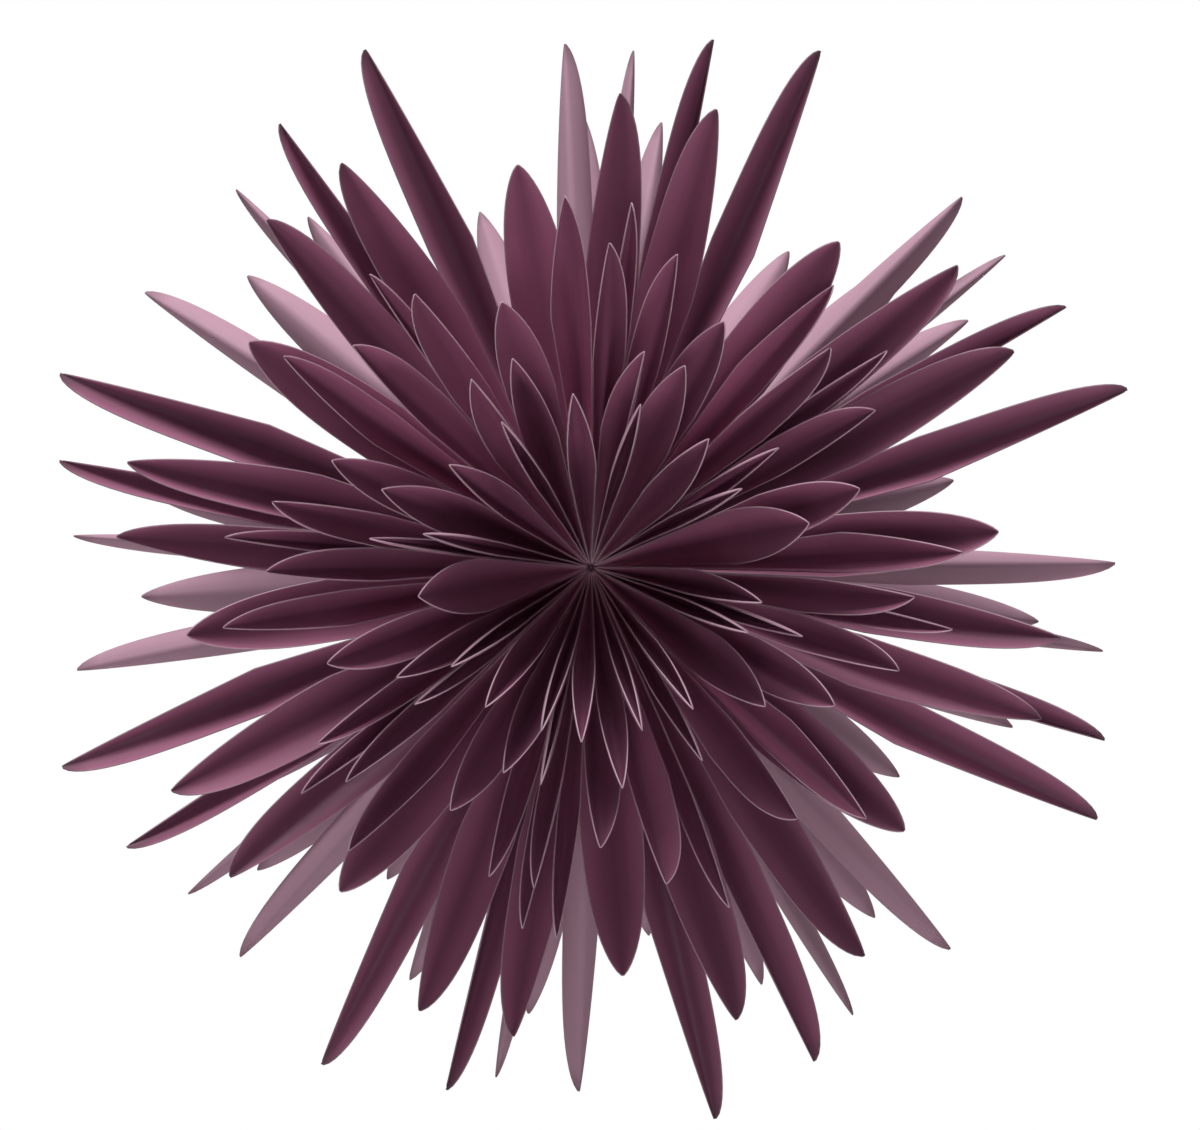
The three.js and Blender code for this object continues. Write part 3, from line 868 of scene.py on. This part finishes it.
class FLOWER_OT_rear_sprays(bpy.types.Operator):
    """Builds the petals that lean backwards and show their pale backs"""
    bl_idname = "paper_flower.rear_sprays"
    bl_label = "Rear Sprays"

    def execute(self, context):
        sizes = context.scene.flower_sizes
        petals = placed_petals(REAR_KINDS, sizes.shoulder, sizes.width)
        make_sprays(context, meet_at_edges(petals), "rear_spray")
        return {"FINISHED"}


class FLOWER_OT_core(bpy.types.Operator):
    """Builds the core that holds the roots and the card button at its back"""
    bl_idname = "paper_flower.core"
    bl_label = "Core and Button"

    def execute(self, context):
        board = board_material(context)
        profile = self.core_profile(context.scene.flower_sizes.core_radius)
        make_revolved(context, "core", profile, CORE_STEPS, flower_centre(), board, [])
        low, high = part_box("back_button")
        profile = self.button_profile((high[0] - low[0]) / 2, high[1] - low[1])
        place = np.array([0.0, low[1], 0.0])
        make_revolved(
            context, "card_back_button", profile, BUTTON_STEPS, place, board, ["back_button"])
        return {"FINISHED"}

    def core_profile(self, radius):
        """Radius and place of a ball cut flat at its back. Its front half is drawn in towards
        the centre, evenly from the widest place to the front pole."""
        back = CORE_BACK - SEAT_GAP
        turn = np.linspace(-math.pi / 2, math.asin(back / radius), CORE_PROFILE)
        ball = np.stack([radius * np.cos(turn), radius * np.sin(turn)], -1)
        front = ball[:, 1] < 0
        ball[front] *= np.linspace(FRONT_DRAWN_IN, 1, front.sum())[:, None]
        return [(0, ball[0, 1]), *map(tuple, ball[1:]), (0, back)]

    def button_profile(self, rim, depth):
        """Radius and place of a flat round button with a bevel on both rims."""
        bevel = BUTTON_BEVEL * depth
        return [(0, 0), (rim - bevel, 0), (rim, bevel), (rim, depth - bevel),
                (rim - bevel, depth), (0, depth)]


class FLOWER_OT_stage(bpy.types.Operator):
    """Builds the floor, the lamps, the white room and the camera"""
    bl_idname = "paper_flower.stage"
    bl_label = "Studio Stage"

    def execute(self, context):
        stage = context.scene.flower_stage
        centre = flower_centre()
        self.add_floor(context, centre[2] - stage.floor_drop)
        self.add_room(context, stage.room_light)
        self.add_lamp(context, "key_lamp", KEY_PLACE, centre, KEY_SIZE, stage.key_power)
        self.add_lamp(context, "front_lamp", FRONT_PLACE, centre, FRONT_SIZE, stage.front_power)
        self.add_camera(context, stage, centre)
        context.scene.view_settings.view_transform = "Standard"
        return {"FINISHED"}

    def add_floor(self, context, height):
        """A square of pale matt floor."""
        mesh = bpy.data.meshes.new("floor")
        corners = [(-1, -1), (1, -1), (1, 1), (-1, 1)]
        points = [(FLOOR_REACH * x, FLOOR_REACH * y, height) for x, y in corners]
        mesh.from_pydata(points, [], [(0, 1, 2, 3)])
        material = bpy.data.materials.new("Pale Floor")
        material.use_nodes = True
        shader = material.node_tree.nodes["Principled BSDF"]
        shader.inputs["Base Color"].default_value = (FLOOR_GREY, FLOOR_GREY, FLOOR_GREY, 1)
        shader.inputs["Roughness"].default_value = FLOOR_ROUGHNESS
        mesh.materials.append(material)
        floor = bpy.data.objects.new("floor", mesh)
        context.scene.collection.objects.link(floor)

    def add_room(self, context, strength):
        """A white room that lights the flower at a given strength, and that the camera and
        mirror-like rays see as plain white."""
        world = bpy.data.worlds.new("White Room")
        world.use_nodes = True
        context.scene.world = world
        tree = world.node_tree
        tree.nodes.clear()
        output = tree.nodes.new("ShaderNodeOutputWorld")
        path = tree.nodes.new("ShaderNodeLightPath").outputs
        seen = add_math(tree, "MAXIMUM", path["Is Camera Ray"], path["Is Glossy Ray"])
        room = add_node(tree, "ShaderNodeBackground", Color=(1, 1, 1), Strength=strength)
        plain = add_node(tree, "ShaderNodeBackground", Color=(1, 1, 1), Strength=1.0)
        mix = tree.nodes.new("ShaderNodeMixShader")
        for socket, value in zip(mix.inputs, (seen, room.outputs[0], plain.outputs[0])):
            feed(tree, socket, value)
        tree.links.new(mix.outputs[0], output.inputs["Surface"])

    def add_lamp(self, context, name, place, centre, size, power):
        """A round soft lamp at a place measured from the flower's centre, aimed at it."""
        light = bpy.data.lights.new(name, "AREA")
        light.shape = "DISK"
        light.size = size
        light.energy = power
        lamp = bpy.data.objects.new(name, light)
        lamp.location = centre + place
        direction = Vector(centre) - Vector(centre + place)
        lamp.rotation_euler = direction.to_track_quat("-Z", "Y").to_euler()
        context.scene.collection.objects.link(lamp)

    def add_camera(self, context, stage, centre):
        """A level camera in front, which shows the picture's width where the flower hangs and
        puts the flower's centre at its own pixel."""
        data = bpy.data.cameras.new("camera")
        data.lens = data.sensor_width * stage.camera_distance / stage.picture_width
        data.clip_end = CAMERA_REACH
        camera = bpy.data.objects.new("camera", data)
        pixel = stage.picture_width / PICTURE_WIDTH
        camera.location = (
            (PICTURE_WIDTH / 2 - FLOWER_COLUMN) * pixel,
            centre[1] - stage.camera_distance,
            (FLOWER_ROW - PICTURE_HEIGHT / 2) * pixel)
        camera.rotation_euler = (math.pi / 2, 0, 0)
        context.scene.collection.objects.link(camera)
        context.scene.camera = camera


class FLOWER_PT_panel(bpy.types.Panel):
    """Lists the sizes, colours and pieces of the flower"""
    bl_idname = "FLOWER_PT_panel"
    bl_label = "Giant Paper Flower"
    bl_space_type = "VIEW_3D"
    bl_region_type = "UI"
    bl_category = "Paper Flower"

    def draw(self, context):
        layout = self.layout
        for group in GROUPS:
            settings = getattr(context.scene, group)
            box = layout.box()
            for name in settings.__annotations__:
                box.prop(settings, name)
        column = layout.column(align=True)
        for operator in OPERATORS:
            column.operator(operator.bl_idname)


OPERATORS = (
    FLOWER_OT_rim_petals, FLOWER_OT_blade_petals, FLOWER_OT_wing_petals, FLOWER_OT_broad_petals,
    FLOWER_OT_front_sprays, FLOWER_OT_rear_sprays, FLOWER_OT_core, FLOWER_OT_stage,
)
GROUPS = {
    "flower_sizes": FlowerSizes,
    "flower_colours": FlowerColours,
    "flower_stage": FlowerStage,
}
CLASSES = (*GROUPS.values(), *OPERATORS, FLOWER_PT_panel)


def register():
    """Adds the classes, and the three groups of settings to the scene."""
    for cls in CLASSES:
        bpy.utils.register_class(cls)
    for name, group in GROUPS.items():
        setattr(bpy.types.Scene, name, PointerProperty(type=group))


def unregister():
    """Takes away what register adds."""
    for name in GROUPS:
        delattr(bpy.types.Scene, name)
    for cls in reversed(CLASSES):
        bpy.utils.unregister_class(cls)


def main():
    """Registers the add-on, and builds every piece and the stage."""
    register()
    bpy.ops.paper_flower.rim_petals()
    bpy.ops.paper_flower.blade_petals()
    bpy.ops.paper_flower.wing_petals()
    bpy.ops.paper_flower.broad_petals()
    bpy.ops.paper_flower.front_sprays()
    bpy.ops.paper_flower.rear_sprays()
    bpy.ops.paper_flower.core()
    bpy.ops.paper_flower.stage()


if __name__ == "__main__":
    main()
